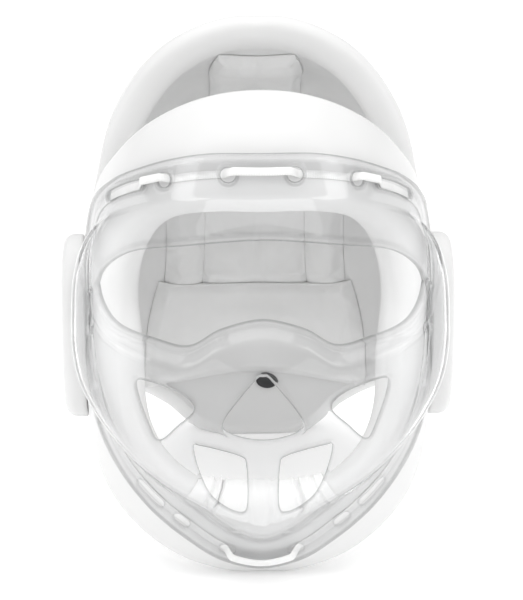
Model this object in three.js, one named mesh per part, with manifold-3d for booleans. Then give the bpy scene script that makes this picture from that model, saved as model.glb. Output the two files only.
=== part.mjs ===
// Head guard with a clear face shield: two foam shells, ear pads, shield, lace and inner pads.
// Millimetres, +Z up, floor at Z = 0. The face looks along -Y and the wearer's left is +X.
import * as THREE from "three";
import { mergeVertices } from "three/addons/utils/BufferGeometryUtils.js";
import Module from "manifold-3d";

const wasm = await Module();
wasm.setup();

// Driving sizes
const HEAD_CENTRE = new THREE.Vector3(0, 28, 148);
const FOAM = 20; // wall of the foam shell
const SEAT = 0.4; // gap between two pieces that touch
const SEAM_AZ = 90; // the two shells meet in the level plane through both ears
const SEAM_GAP = 0.12; // half the gap of that seam, degrees
const SOFT_EDGE = 8; // rounding of a free foam edge
const SEAM_EDGE = 2.5; // rounding of a foam edge at the seam

// Outside of the foam: distance from the head's centre by elevation, every 20 degrees from the crown.
// power is that of the level section: 2 is an ellipse, a higher one is boxier.
const FORM = [
  { el: 90, side: 156.5, front: 156.5, back: 156.5, power: 2.0 },
  { el: 70, side: 148.5, front: 160, back: 141, power: 2.05 },
  { el: 50, side: 130, front: 161, back: 139, power: 2.15 },
  { el: 30, side: 111, front: 143, back: 121, power: 2.25 },
  { el: 10, side: 105, front: 129, back: 115, power: 2.35 },
  { el: -10, side: 105.5, front: 132, back: 117, power: 2.45 },
  { el: -30, side: 120, front: 154, back: 131, power: 2.8 },
  { el: -50, side: 146, front: 184, back: 166, power: 2.6 },
  { el: -70, side: 158, front: 178, back: 196, power: 2.3 },
];
const FORM_STEP = 20;

// Edges of the front foam ring from the forehead round to the chin, on the chart of
// azimuth (0 is the face, 90 the wearer's left ear) and elevation, in degrees.
const FRAME_EDGES = [
  { inAz: 0, inEl: 32.7, outAz: 0, outEl: 60 },
  { inAz: 14, inEl: 32.5, outAz: 20, outEl: 58.2 },
  { inAz: 28, inEl: 30.5, outAz: 41.6, outEl: 52.6 },
  { inAz: 37, inEl: 26, outAz: 62, outEl: 43.5 },
  { inAz: 42.4, inEl: 19, outAz: 80, outEl: 35 },
  { inAz: 44, inEl: 12, outAz: 90, outEl: 26 },
  { inAz: 44, inEl: 5, outAz: 90, outEl: 10 },
  { inAz: 42, inEl: -2, outAz: 90, outEl: -6 },
  { inAz: 39.5, inEl: -9, outAz: 90, outEl: -22 },
  { inAz: 37.5, inEl: -16, outAz: 90, outEl: -37 },
  { inAz: 35, inEl: -20.5, outAz: 77, outEl: -39.5 },
  { inAz: 31, inEl: -24.5, outAz: 60, outEl: -41.5 },
  { inAz: 25.5, inEl: -28, outAz: 47, outEl: -42.8 },
  { inAz: 18, inEl: -31.3, outAz: 34, outEl: -45 },
  { inAz: 9.5, inEl: -32.8, outAz: 18, outEl: -50.2 },
  { inAz: 0, inEl: -33.1, outAz: 0, outEl: -56.5 },
];

// Lower edge of the rear shell from the ear to the nape.
const REAR_RIM = [
  { az: 90, el: -39.5 },
  { az: 115, el: -42 },
  { az: 135, el: -46 },
  { az: 148, el: -51 },
  { az: 158, el: -57 },
  { az: 170, el: -59.5 },
  { az: 180, el: -60 },
];
const ARCH_START = 20; // elevation where the arch over the crown leaves the seam

// Ear pads: outline centred on (y, z), with its own roundness above and below
const EAR = { y: 20, z: 115, halfWide: 34, halfTall: 56, topPower: 2.3, lowPower: 3.2, outX: 120.5, lip: 0.1 };

// Clear shield: its edge from the forehead round to the chin
const SHIELD_EDGE = [
  { az: 0, el: 42.3 },
  { az: 12.5, el: 41.8 },
  { az: 23, el: 40.2 },
  { az: 33, el: 38 },
  { az: 45, el: 35 },
  { az: 57, el: 30.5 },
  { az: 63, el: 25 },
  { az: 65, el: 17 },
  { az: 64.5, el: 6 },
  { az: 63, el: -5 },
  { az: 59, el: -14 },
  { az: 52, el: -21 },
  { az: 44, el: -27 },
  { az: 36, el: -32 },
  { az: 28, el: -36.5 },
  { az: 19, el: -41.2 },
  { az: 10, el: -46 },
  { az: 0, el: -48.5 },
];
const SHIELD_WALL = 3.2;
const SHIELD_SEAT = 1.05; // the flange lies on the foam with this gap
const FLANGE = 14; // width of the flange all round
// More flange above the lace, growing with the edge's elevation; lift holds its edge off the foam
const BROW = { wide: 7, from: 18, span: 10, lift: 0.4 };
const RISE_SPAN = 48; // width over which the shield rises from the flange
const MM_PER_DEGREE = 2.3; // mean length of a chart degree on the face

// Rise of the shield in front of the foam's form, by elevation
const SHIELD_RISE = [
  { el: 50, rise: 14 },
  { el: 30, rise: 16.5 },
  { el: 10, rise: 21.5 },
  { el: -10, rise: 27 },
  { el: -30, rise: 27.5 },
  { el: -50, rise: 22 },
];
const LEDGE = { rise: 7, span: 4.2 }; // step below the eye slot, degrees of elevation
const NOSE = { rise: 5, az: 10, el: -2, tall: 14 };

// Openings of the shield. Those on the middle line are given as one half.
const EYE_SLOT = [
  { az: 0, el: 26.8 },
  { az: 20, el: 24.5 },
  { az: 32, el: 21.4 },
  { az: 38.5, el: 14.5 },
  { az: 33, el: 7.2 },
  { az: 22, el: 5 },
  { az: 15, el: 4.6 },
  { az: 8.5, el: 8.6 },
  { az: 0, el: 10.8 },
];
const CENTRE_VENT = [
  { az: 0, el: 0.2 },
  { az: 1.6, el: -0.7 },
  { az: 7.1, el: -8.4 },
  { az: 6.3, el: -10.9 },
  { az: 0, el: -12.1 },
];
const SIDE_VENT = [
  { az: 24.9, el: -4.2 },
  { az: 22.8, el: -2.9 },
  { az: 16, el: -4.3 },
  { az: 13.1, el: -7 },
  { az: 16.4, el: -10.8 },
  { az: 19.6, el: -13.7 },
  { az: 21.4, el: -12.2 },
];
const LOWER_VENT = [
  { az: 13, el: -14.7 },
  { az: 11.8, el: -14 },
  { az: 4.6, el: -15.4 },
  { az: 3.2, el: -17.5 },
  { az: 3.2, el: -25.6 },
  { az: 5, el: -27.4 },
  { az: 9, el: -25.5 },
  { az: 11, el: -22.3 },
];

// Lace: slots along the flange, millimetres from the top middle, and whether the lace
// passes over the flange on its way to the next slot
const LACE_SLOTS = [
  { from: 13, to: 24, over: false },
  { from: 48, to: 59, over: true },
  { from: 69, to: 96, over: false },
  { from: 177, to: 197, over: false },
  { from: 206, to: 237, over: false },
  { from: 248, to: 268, over: false },
  { from: 295, to: 314, over: false },
  { from: 323, to: 334, over: false },
  { from: 353, to: 364, over: true },
];
const LACE = { wide: 4.6, thick: 2, inset: 6.3, dip: 9.5, slotWide: 8, overGap: 1.2, sunk: 1.7, clear: 2.6 };
const GROOVE = { wide: 6.6, deep: 3.4 };

// Soft parts inside
const CHIN_COVER = { stations: 3, wall: 2.6, seat: 0.6, narrow: 0.32 }; // stations to each side of the middle
// seat is the gap behind a pad, where the foam's flat facets stand out;
// from and to are the X of a pad's sides, high the elevation of its upper end
const REAR_PADS = [
  { name: "rear_pad_left", from: 32.3, to: 56, high: 40, seat: 1.7 },
  { name: "rear_pad_centre", from: -31, to: 31, high: 78, seat: 2.6 },
  { name: "rear_pad_right", from: -56, to: -32.3, high: 40, seat: 1.7 },
];
const REAR_PAD = { above: 1, taper: 0.4, thick: 7, bed: 2.6 }; // above the nape pad in degrees; taper at the crown
const NAPE_PAD = { halfTop: 39, halfLow: 53, top: -17.5, sag: 5, low: -45.5, thick: 9, seat: 1.5 };
const NAPE_LABEL = { halfAz: 5.5, top: -47.5, low: -51, thick: 0.9, seat: 0.95 };

const TURN = 2 * Math.PI;
const { degToRad, lerp, clamp, smoothstep } = THREE.MathUtils;

// Smooth value at a fractional row of a column.
function spline(values, place) {
  const last = values.length - 1;
  const row = clamp(Math.floor(place), 0, last - 1);
  const f = place - row;
  const [a, b, c, d] = [-1, 0, 1, 2].map((k) => values[clamp(row + k, 0, last)]);
  return b + 0.5 * f * (c - a + f * (2 * a - 5 * b + 4 * c - d + f * (3 * b - a - 3 * c + d)));
}

// Unit vector from the head's centre at a place on the chart.
function direction(az, el) {
  const level = Math.cos(degToRad(el));
  return new THREE.Vector3(
    level * Math.sin(degToRad(az)),
    -level * Math.cos(degToRad(az)),
    Math.sin(degToRad(el)),
  );
}

// Columns of the form, each led by the row that follows past the crown: the front runs on into the back.
const PAST_CROWN = { side: "side", front: "back", back: "front", power: "power" };
const FORM_COLUMNS = Object.fromEntries(
  Object.entries(PAST_CROWN).map(([column, past]) => [column, [FORM[1][past], ...FORM.map((row) => row[column])]]),
);

// Distance from the head's centre to the foam's outside along a unit vector.
function reach(dir) {
  const place = 1 + (90 - THREE.MathUtils.radToDeg(Math.asin(clamp(dir.z, -1, 1)))) / FORM_STEP;
  const level = Math.hypot(dir.x, dir.y) || 1e-9;
  const side = spline(FORM_COLUMNS.side, place);
  const depth = spline(dir.y <= 0 ? FORM_COLUMNS.front : FORM_COLUMNS.back, place);
  const power = spline(FORM_COLUMNS.power, place);
  const across = Math.abs(dir.x / level / side) ** power;
  const along = Math.abs(dir.y / level / depth) ** power;
  return (across + along) ** (-1 / power);
}

// Point of the foam's form along a unit vector, raised from the head's centre.
function formPoint(dir, raised = 0) {
  return dir.clone().multiplyScalar(reach(dir) + raised).add(HEAD_CENTRE);
}

// Outward normal of a surface given as a function of a unit vector.
function normalOf(surface, dir) {
  const helper = Math.abs(dir.x) < 0.9 ? new THREE.Vector3(1, 0, 0) : new THREE.Vector3(0, 0, 1);
  const right = new THREE.Vector3().crossVectors(helper, dir).normalize();
  const up = new THREE.Vector3().crossVectors(dir, right);
  const step = 1e-3;
  const slope = (tangent) => {
    const ahead = surface(dir.clone().addScaledVector(tangent, step).normalize());
    const behind = surface(dir.clone().addScaledVector(tangent, -step).normalize());
    return ahead.sub(behind);
  };
  return slope(right).cross(slope(up)).normalize();
}

// Point sunk below the foam's outside along its normal; a negative depth stands proud.
function skin(dir, depth) {
  return formPoint(dir).addScaledVector(normalOf(formPoint, dir), -depth);
}

// Closed solid through a row of closed rings with equal point counts. ends says how it closes:
// "loop" joins the last ring to the first, "fan" caps each end from its middle,
// "zip" caps an end that is a long band, whose two sides run there and back.
function loft(rings, ends) {
  const count = rings[0].length;
  const points = rings.flat();
  const faces = [];
  const steps = ends === "loop" ? rings.length : rings.length - 1;
  for (let r = 0; r < steps; r++) {
    const here = r * count;
    const next = ((r + 1) % rings.length) * count;
    for (let i = 0; i < count; i++) {
      const j = (i + 1) % count;
      faces.push(here + i, here + j, next + j, here + i, next + j, next + i);
    }
  }
  const caps = ends === "loop" ? [] : [[0, 1], [(rings.length - 1) * count, -1]];
  for (const [start, way] of caps) {
    const cap = ends === "fan" ? fanCap(start, count, points) : zipCap(start, count);
    for (const [a, b, c] of cap) faces.push(a, ...(way > 0 ? [c, b] : [b, c]));
  }
  const geometry = new THREE.BufferGeometry().setFromPoints(points);
  geometry.setIndex(faces);
  return facingOut(geometry);
}

function fanCap(start, count, points) {
  const middle = new THREE.Vector3();
  for (let i = 0; i < count; i++) middle.addScaledVector(points[start + i], 1 / count);
  const hub = points.push(middle) - 1;
  return Array.from({ length: count }, (_, i) => [hub, start + i, start + ((i + 1) % count)]);
}

function zipCap(start, count) {
  const cap = [];
  for (let i = 0; i < count / 2 - 1; i++) {
    const [a, b] = [start + i, start + i + 1];
    const [d, c] = [start + count - 1 - i, start + count - 2 - i];
    cap.push([a, b, c], [a, c, d]);
  }
  return cap;
}

// The same geometry with its faces turned outward.
function facingOut(geometry) {
  const at = (i) => new THREE.Vector3().fromBufferAttribute(geometry.attributes.position, i);
  const index = geometry.index.array;
  let volume = 0;
  for (let i = 0; i < index.length; i += 3) {
    volume += at(index[i]).dot(at(index[i + 1]).cross(at(index[i + 2])));
  }
  if (volume < 0) {
    for (let i = 0; i < index.length; i += 3) {
      [index[i + 1], index[i + 2]] = [index[i + 2], index[i + 1]];
    }
  }
  return geometry;
}

// Joins and cuts work on solids; every geometry goes in and comes out through these two.
function toSolid(geometry) {
  const bare = geometry.clone();
  bare.deleteAttribute("normal");
  bare.deleteAttribute("uv");
  const merged = mergeVertices(bare, 1e-3);
  return new wasm.Manifold(
    new wasm.Mesh({
      numProp: 3,
      vertProperties: merged.attributes.position.array,
      triVerts: new Uint32Array(merged.index.array),
    }),
  );
}

function toGeometry(solid) {
  const mesh = solid.getMesh();
  const geometry = new THREE.BufferGeometry();
  geometry.setAttribute("position", new THREE.BufferAttribute(mesh.vertProperties, 3));
  geometry.setIndex(new THREE.BufferAttribute(mesh.triVerts, 1));
  return geometry;
}

function cut(geometry, cutters) {
  return toGeometry(cutters.reduce((solid, cutter) => solid.subtract(toSolid(cutter)), toSolid(geometry)));
}

// What would lie under the floor, for foam that is pressed flat where it rests.
function belowFloor() {
  return new THREE.BoxGeometry(400, 400, 60).translate(0, 0, -30);
}

const EDGE_BEND = [90, 40]; // turns at which a rounded edge has a point

// One long side of a band's section with rounded ends, as [distance, depth] pairs.
function bandSide(length, edgeA, edgeB, steps) {
  const side = [];
  for (const turn of EDGE_BEND) {
    const a = degToRad(turn);
    side.push([edgeA * (1 - Math.sin(a)), edgeA * (1 - Math.cos(a))]);
  }
  for (let k = 0; k <= steps; k++) side.push([lerp(edgeA, length - edgeB, k / steps), 0]);
  for (const turn of EDGE_BEND.toReversed()) {
    const a = degToRad(turn);
    side.push([length - edgeB * (1 - Math.sin(a)), edgeB * (1 - Math.cos(a))]);
  }
  return side;
}

// Closed ring of a band's section: out along its outside, back along its inside.
function bandRing(along, length, top, thick, edgeA, edgeB, steps) {
  const side = bandSide(length, edgeA, edgeB, steps);
  const outside = side.map(([s, depth]) => skin(along(s / length), top + depth));
  const inside = side.map(([s, depth]) => skin(along(s / length), top + thick - depth));
  return [...outside, ...inside.reverse()];
}

function lengthOf(along) {
  const samples = Array.from({ length: 13 }, (_, k) => formPoint(along(k / 12)));
  return samples.slice(1).reduce((sum, point, k) => sum + point.distanceTo(samples[k]), 0);
}

// Rows of one half and their mirror image, as one closed round.
function bothHalves(rows, flips) {
  const mirrored = rows.slice(1, -1).reverse().map((row) => {
    const other = { ...row };
    for (const column of flips) other[column] = -row[column];
    return other;
  });
  return [...rows, ...mirrored];
}

function closedCurve(rows, az = "az", el = "el") {
  const points = rows.map((row) => new THREE.Vector3(row[az], row[el], 0));
  return new THREE.CatmullRomCurve3(points, true, "catmullrom", 0.5);
}

// Front foam ring
const frameRows = bothHalves(FRAME_EDGES, ["inAz", "outAz"]);
const frameInner = closedCurve(frameRows, "inAz", "inEl");
const frameOuter = closedCurve(frameRows, "outAz", "outEl");

// The frame's edges at a share of the way round, with the outer one held at the seam.
function frameStation(share) {
  const from = frameInner.getPoint(share);
  const to = frameOuter.getPoint(share);
  const seam = SEAM_AZ - SEAM_GAP;
  const atSeam = Math.abs(to.x) > seam - 1;
  to.x = clamp(to.x, -seam, seam);
  const along = (t) => direction(lerp(from.x, to.x, t), lerp(from.y, to.y, t));
  return { along, length: lengthOf(along), outerEdge: atSeam ? SEAM_EDGE : SOFT_EDGE };
}

const FRAME_STATIONS = 50;
const FRAME_STEPS = 5; // steps across the ring

function faceFrame() {
  const rings = [];
  for (let i = 0; i < FRAME_STATIONS; i++) {
    const { along, length, outerEdge } = frameStation(i / FRAME_STATIONS);
    rings.push(bandRing(along, length, 0, FOAM, SOFT_EDGE, outerEdge, FRAME_STEPS));
  }
  return cut(loft(rings, "loop"), [laceGroove(), belowFloor()]);
}

// Back foam shell
function rearShell() {
  const columns = 24;
  const seam = SEAM_AZ + SEAM_GAP;
  const rimEl = REAR_RIM.map((row) => row.el);
  const rimAz = REAR_RIM.map((row) => row.az);
  const rings = [];
  for (let i = 0; i <= columns; i++) {
    const u = i / columns;
    const side = u < 0.5 ? 1 : -1;
    const place = (1 - Math.abs(1 - 2 * u)) * (REAR_RIM.length - 1);
    const rimFromFace = Math.max(spline(rimAz, place), seam);
    const low = direction(side * rimFromFace, spline(rimEl, place));
    const archTurn = lerp(ARCH_START, 180 - ARCH_START, u);
    const tilt = Math.tan(degToRad(SEAM_GAP));
    const high = new THREE.Vector3(Math.cos(degToRad(archTurn)), tilt, Math.sin(degToRad(archTurn))).normalize();
    const angle = high.angleTo(low);
    const along = (t) => {
      const mixed = high.clone().multiplyScalar(Math.sin((1 - t) * angle));
      return mixed.addScaledVector(low, Math.sin(t * angle)).normalize();
    };
    const ends = i === 0 || i === columns;
    rings.push(bandRing(along, lengthOf(along), 0, FOAM, ends ? SEAM_EDGE : SOFT_EDGE, SOFT_EDGE, 15));
  }
  return cut(loft(rings, "zip"), [belowFloor()]);
}

// X of the foam's outside at the wearer's left, at a given Y and Z.
function sideX(y, z) {
  let x = 100;
  for (let pass = 0; pass < 12; pass++) {
    const dir = new THREE.Vector3(x, y - HEAD_CENTRE.y, z - HEAD_CENTRE.z).normalize();
    x = dir.x * reach(dir);
  }
  return x;
}

// Ear pad at the wearer's left; side = -1 mirrors it.
function earPad(side) {
  const around = 20;
  const ring = (shrink, share) =>
    Array.from({ length: around }, (_, i) => {
      const turn = (TURN * i) / around;
      const power = 2 / (Math.sin(turn) > 0 ? EAR.topPower : EAR.lowPower);
      const c = Math.sign(Math.cos(turn)) * Math.abs(Math.cos(turn)) ** power;
      const s = Math.sign(Math.sin(turn)) * Math.abs(Math.sin(turn)) ** power;
      const y = EAR.y + c * EAR.halfWide * shrink;
      const z = EAR.z + s * EAR.halfTall * shrink;
      const foot = sideX(y, z) + SEAT;
      const outer = EAR.outX - 5 * shrink * shrink;
      return new THREE.Vector3(side * lerp(foot, Math.max(outer, foot + 4), share), y, z);
    });
  const rings = [ring(0.25, 0), ring(0.5, 0), ring(0.75, 0), ring(0.96, 0), ring(1, 0.12)];
  for (const turn of [0, 30, 60, 90]) {
    const bend = degToRad(turn);
    rings.push(ring(1 - (1 - Math.cos(bend)) * EAR.lip, 0.5 + 0.5 * Math.sin(bend)));
  }
  rings.push(ring(0.5, 1), ring(0.2, 1));
  return loft(rings, "fan");
}

// Clear shield
const shieldEdge = closedCurve(bothHalves(SHIELD_EDGE, ["az"]));
const AT_EDGE = Infinity;
const riseColumn = SHIELD_RISE.map((row) => row.rise);
const slotCurve = closedCurve(bothHalves(EYE_SLOT, ["az"]));

// Elevation of the eye slot's lower edge at an azimuth, rising again past its ends.
const SLOT_LOW = EYE_SLOT.slice(3).reverse();
function slotLow(az) {
  const across = Math.abs(az);
  const k = SLOT_LOW.findIndex((row) => row.az > across);
  if (k < 0) return SLOT_LOW.at(-1).el + (across - SLOT_LOW.at(-1).az);
  const [a, b] = [SLOT_LOW[k - 1], SLOT_LOW[k]];
  return lerp(a.el, b.el, (across - a.az) / (b.az - a.az));
}

// How far the shield stands in front of the foam's form at a chart place, inset from its edge.
function shieldRise(az, el, inset) {
  const ramp = Math.sin((Math.PI / 2) * clamp((inset - FLANGE) / RISE_SPAN, 0, 1));
  const step = smoothstep((slotLow(az) - el) / LEDGE.span, 0, 1);
  const nose = Math.exp(-((az / NOSE.az) ** 2) - ((el - NOSE.el) / NOSE.tall) ** 2);
  const base = spline(riseColumn, (50 - el) / FORM_STEP);
  return ramp * (base + LEDGE.rise * step + NOSE.rise * nose);
}

// One ring of the shield, at a share of the way from its middle to the flange, or at its edge.
function shieldRing(step, lift) {
  const around = 46;
  return Array.from({ length: around }, (_, i) => {
    const edge = shieldEdge.getPoint(i / around);
    const wide = Math.hypot(edge.x, edge.y) * MM_PER_DEGREE;
    const brow = step === AT_EDGE ? smoothstep((edge.y - BROW.from) / BROW.span, 0, 1) : 0;
    const inset = step === AT_EDGE ? -BROW.wide * brow : wide - step * (wide - FLANGE);
    const share = 1 - inset / wide;
    const [az, el] = [edge.x * share, edge.y * share];
    const dir = direction(az, el);
    return skin(dir, -lift - BROW.lift * brow).addScaledVector(dir, shieldRise(az, el, inset));
  });
}

// Cutter through the shield along the rays of a closed chart outline.
function rayCutter(outline) {
  const scaled = (scale) =>
    outline.map(({ az, el }) => {
      const dir = direction(az, el);
      return dir.clone().multiplyScalar(scale * reach(dir)).add(HEAD_CENTRE);
    });
  return loft([scaled(0.6), scaled(1.9)], "fan");
}

function outlineOf(curve, count) {
  return curve.getSpacedPoints(count).slice(0, count).map((p) => ({ az: p.x, el: p.y }));
}

function mirroredOutline(outline) {
  return outline.map(({ az, el }) => ({ az: -az, el }));
}

function faceShield() {
  const steps = [0.22, 0.43, 0.63, 0.82, 1, AT_EDGE];
  const front = steps.map((step) => shieldRing(step, SHIELD_SEAT + SHIELD_WALL));
  const back = steps.map((step) => shieldRing(step, SHIELD_SEAT));
  const blank = loft([...front, ...back.reverse()], "fan");
  const sideVent = outlineOf(closedCurve(SIDE_VENT), 13);
  const lowerVent = outlineOf(closedCurve(LOWER_VENT), 14);
  const outlines = [
    outlineOf(slotCurve, 32),
    outlineOf(closedCurve(bothHalves(CENTRE_VENT, ["az"])), 14),
    sideVent,
    mirroredOutline(sideVent),
    lowerVent,
    mirroredOutline(lowerVent),
    ...laceSlotOutlines(),
  ];
  return cut(blank, outlines.map(rayCutter));
}

// Lace path: chart places along the flange with their distance from the top middle
const lacePath = [];
{
  const samples = 720;
  let walked = 0;
  for (let i = 0; i <= samples; i++) {
    const edge = shieldEdge.getPoint((i % samples) / samples);
    const share = 1 - LACE.inset / (MM_PER_DEGREE * Math.hypot(edge.x, edge.y));
    const place = { az: edge.x * share, el: edge.y * share };
    const point = formPoint(direction(place.az, place.el));
    if (i > 0) walked += point.distanceTo(lacePath.at(-1).point);
    lacePath.push({ ...place, point, walked });
  }
}
const LACE_LENGTH = lacePath.at(-1).walked;

function laceAt(distance) {
  const wanted = ((distance % LACE_LENGTH) + LACE_LENGTH) % LACE_LENGTH;
  const k = Math.max(1, lacePath.findIndex((row) => row.walked >= wanted));
  const [a, b] = [lacePath[k - 1], lacePath[k]];
  const f = (wanted - a.walked) / (b.walked - a.walked);
  return direction(lerp(a.az, b.az, f), lerp(a.el, b.el, f));
}

// All slots of both halves in order round the flange, and the stretches where the lace is on top.
const allSlots = [
  ...LACE_SLOTS,
  ...LACE_SLOTS.toReversed().map(({ from, to }) => ({ from: LACE_LENGTH - to, to: LACE_LENGTH - from })),
];
const overStretches = [{ from: -LACE_SLOTS[0].from, to: LACE_SLOTS[0].from }];
LACE_SLOTS.forEach((slot, k) => {
  if (!slot.over) return;
  const stretch = { from: slot.to, to: allSlots[k + 1].from };
  overStretches.push(stretch);
  if (k < LACE_SLOTS.length - 1) {
    overStretches.push({ from: LACE_LENGTH - stretch.to, to: LACE_LENGTH - stretch.from });
  }
});

// Height of the lace's middle over the foam: above the flange, or in the groove under it.
function laceHeight(distance) {
  const above = SHIELD_SEAT + SHIELD_WALL + LACE.overGap + LACE.thick / 2;
  const away = overStretches.map(({ from, to }) => {
    const middle = (from + to) / 2;
    const turned = distance - middle - LACE_LENGTH * Math.round((distance - middle) / LACE_LENGTH);
    return Math.abs(turned) - (to - from) / 2;
  });
  return lerp(above, -LACE.sunk, smoothstep(Math.min(...away) / LACE.dip, 0, 1));
}

// Frame of the lace path: its ray, the way across it and the rise along the ray for 1 mm over the foam.
function laceFrame(distance) {
  const dir = laceAt(distance);
  const out = normalOf(formPoint, dir);
  const ahead = formPoint(laceAt(distance + 0.5)).sub(formPoint(laceAt(distance - 0.5)));
  const across = new THREE.Vector3().crossVectors(out, ahead).normalize();
  const rise = dir.clone().divideScalar(dir.dot(out));
  return { dir, across, rise };
}

function laceBody() {
  const spots = [];
  for (const { from, to } of allSlots) {
    for (let k = 0; k <= 3; k++) spots.push(lerp(from, to, k / 3));
  }
  allSlots.forEach((slot, k) => {
    const next = k + 1 < allSlots.length ? allSlots[k + 1].from : allSlots[0].from + LACE_LENGTH;
    const parts = Math.ceil((next - slot.to) / 9);
    for (let p = 1; p < parts; p++) spots.push(lerp(slot.to, next, p / parts));
  });
  spots.sort((a, b) => a - b);
  const half = LACE.wide / 2;
  const flat = LACE.thick / 2;
  const section = [[-half, flat], [half, flat], [half, -flat], [-half, -flat]];
  const rings = spots.map((spot) => {
    const { dir, across, rise } = laceFrame(spot);
    const slope = laceHeight(spot + 0.5) - laceHeight(spot - 0.5);
    const thicken = Math.hypot(1, slope);
    const middle = formPoint(dir).addScaledVector(rise, laceHeight(spot));
    return section.map(([w, t]) => middle.clone().addScaledVector(across, w).addScaledVector(rise, t * thicken));
  });
  return loft(rings, "loop");
}

function laceGroove() {
  const stations = 50;
  const half = GROOVE.wide / 2;
  const section = [[-half, 2], [half, 2], [half, -GROOVE.deep], [-half, -GROOVE.deep]];
  const rings = [];
  for (let i = 0; i < stations; i++) {
    const { dir, across, rise } = laceFrame((LACE_LENGTH * i) / stations);
    const foot = formPoint(dir);
    rings.push(section.map(([w, h]) => foot.clone().addScaledVector(across, w).addScaledVector(rise, h)));
  }
  return loft(rings, "loop");
}

// Chart outlines of the slots: long holes with round ends along the lace.
function laceSlotOutlines() {
  const half = LACE.slotWide / 2;
  return allSlots.map(({ from, to }) => {
    const outline = [];
    for (const [end, start] of [[to + LACE.clear - half, -90], [from - LACE.clear + half, 90]]) {
      for (let k = 0; k <= 3; k++) {
        const turn = degToRad(start + 60 * k);
        const { dir, across } = laceFrame(end + half * Math.cos(turn));
        const point = formPoint(dir).addScaledVector(across, half * Math.sin(turn)).sub(HEAD_CENTRE);
        const el = THREE.MathUtils.radToDeg(Math.asin(point.z / point.length()));
        outline.push({ az: THREE.MathUtils.radToDeg(Math.atan2(point.x, -point.y)), el });
      }
    }
    return outline;
  });
}

// Cover that wraps the chin bowl's top edge from its front to its inside, on the ring's own stations
function chinCover() {
  const rings = [];
  for (let k = -CHIN_COVER.stations; k <= CHIN_COVER.stations; k++) {
    const { along, length, outerEdge } = frameStation(0.5 + k / FRAME_STATIONS);
    const reach = 1 - CHIN_COVER.narrow * Math.abs(k);
    const flat = [reach, reach / 2, 0].map((step) => lerp(SOFT_EDGE, length - outerEdge, step / FRAME_STEPS));
    const wrap = (grow) => {
      const corner = EDGE_BEND.map((turn) => [
        SOFT_EDGE - (SOFT_EDGE + grow) * Math.sin(degToRad(turn)),
        SOFT_EDGE - (SOFT_EDGE + grow) * Math.cos(degToRad(turn)),
      ]);
      const front = [...flat.map((s) => [s, -grow]), ...corner.toReversed()];
      const back = front.toReversed().map(([s, depth]) => [s, FOAM - depth]);
      return [...front, ...back].map(([s, depth]) => skin(along(s / length), depth));
    };
    rings.push([...wrap(CHIN_COVER.seat + CHIN_COVER.wall), ...wrap(CHIN_COVER.seat).reverse()]);
  }
  return loft(rings, "zip");
}

// Pad on the inside of the rear shell between two sides; shapeOf gives each column's azimuth and ends.
function innerPad(from, to, shapeOf, { thick, seat }, columns, steps) {
  const rings = [];
  for (let i = 0; i <= columns; i++) {
    const u = i / columns;
    const swell = Math.max(0.4, Math.min(1, 0.4 + 2.4 * Math.min(u, 1 - u)));
    const { az, low, high } = shapeOf(lerp(from, to, u));
    const along = (t) => direction(az(t), lerp(low, high, t));
    const edge = thick * swell * 0.42;
    rings.push(bandRing(along, lengthOf(along), FOAM + seat, thick * swell, edge, edge, steps));
  }
  return loft(rings, "zip");
}

// Upper edge of the nape pad, which sags at its middle; way runs from -1 to 1 across it.
function napeTop(way) {
  return NAPE_PAD.top - NAPE_PAD.sag * (1 - way * way);
}

// Azimuth at which the pads' bed reaches a given X at an elevation of the back.
function bedAzimuth(x, el) {
  const behind = direction(180, el);
  const level = (reach(behind) - FOAM - REAR_PAD.bed) * Math.cos(degToRad(el));
  return 180 - THREE.MathUtils.radToDeg(Math.asin(clamp(x / level, -1, 1)));
}

function rearPad({ from, to, high, seat }) {
  const shape = (x) => {
    const way = (bedAzimuth(x, NAPE_PAD.top) - 180) / NAPE_PAD.halfTop;
    const low = napeTop(way) + REAR_PAD.above;
    const az = (t) => {
      const el = lerp(low, high, t);
      return bedAzimuth(x * (1 - REAR_PAD.taper * Math.max(0, el / 90) ** 3), el);
    };
    return { az, low, high };
  };
  return innerPad(from, to, shape, { thick: REAR_PAD.thick, seat }, 5, 5);
}

function napePad() {
  const shape = (way) => {
    const az = (t) => 180 + way * lerp(NAPE_PAD.halfLow, NAPE_PAD.halfTop, t);
    return { az, low: NAPE_PAD.low, high: napeTop(way) };
  };
  return innerPad(-1, 1, shape, NAPE_PAD, 8, 3);
}

function napeLabel() {
  const { halfAz, top, low } = NAPE_LABEL;
  return innerPad(180 - halfAz, 180 + halfAz, (az) => ({ az: () => az, low, high: top }), NAPE_LABEL, 2, 1);
}

const vinyl = { color: 0xf4f4f2, roughness: 0.35 };
const lining = { color: 0xe2e2e0, roughness: 0.6 };
const group = new THREE.Group();
function add(name, geometry, look) {
  const mesh = new THREE.Mesh(geometry, new THREE.MeshStandardMaterial(look));
  mesh.name = name;
  group.add(mesh);
}

add("face_frame", faceFrame(), vinyl);
add("rear_shell", rearShell(), vinyl);
add("ear_pad_left", earPad(1), vinyl);
add("ear_pad_right", earPad(-1), vinyl);
add("face_shield", faceShield(), { color: 0xe6eaec, roughness: 0.06, transparent: true, opacity: 0.3 });
add("lace", laceBody(), { color: 0xf8f8f6, roughness: 0.8 });
add("chin_cover", chinCover(), lining);
add("nape_pad", napePad(), lining);
for (const pad of REAR_PADS) add(pad.name, rearPad(pad), lining);
add("nape_label", napeLabel(), { color: 0x2a2a2c, roughness: 0.8 });

export default group;
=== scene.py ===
"""Looks of the head guard: smooth white foam, a clear laced-on shield and soft pads inside."""
import math

import bmesh
import bpy
import numpy as np
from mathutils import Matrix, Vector
from mathutils.geometry import delaunay_2d_cdt


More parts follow.
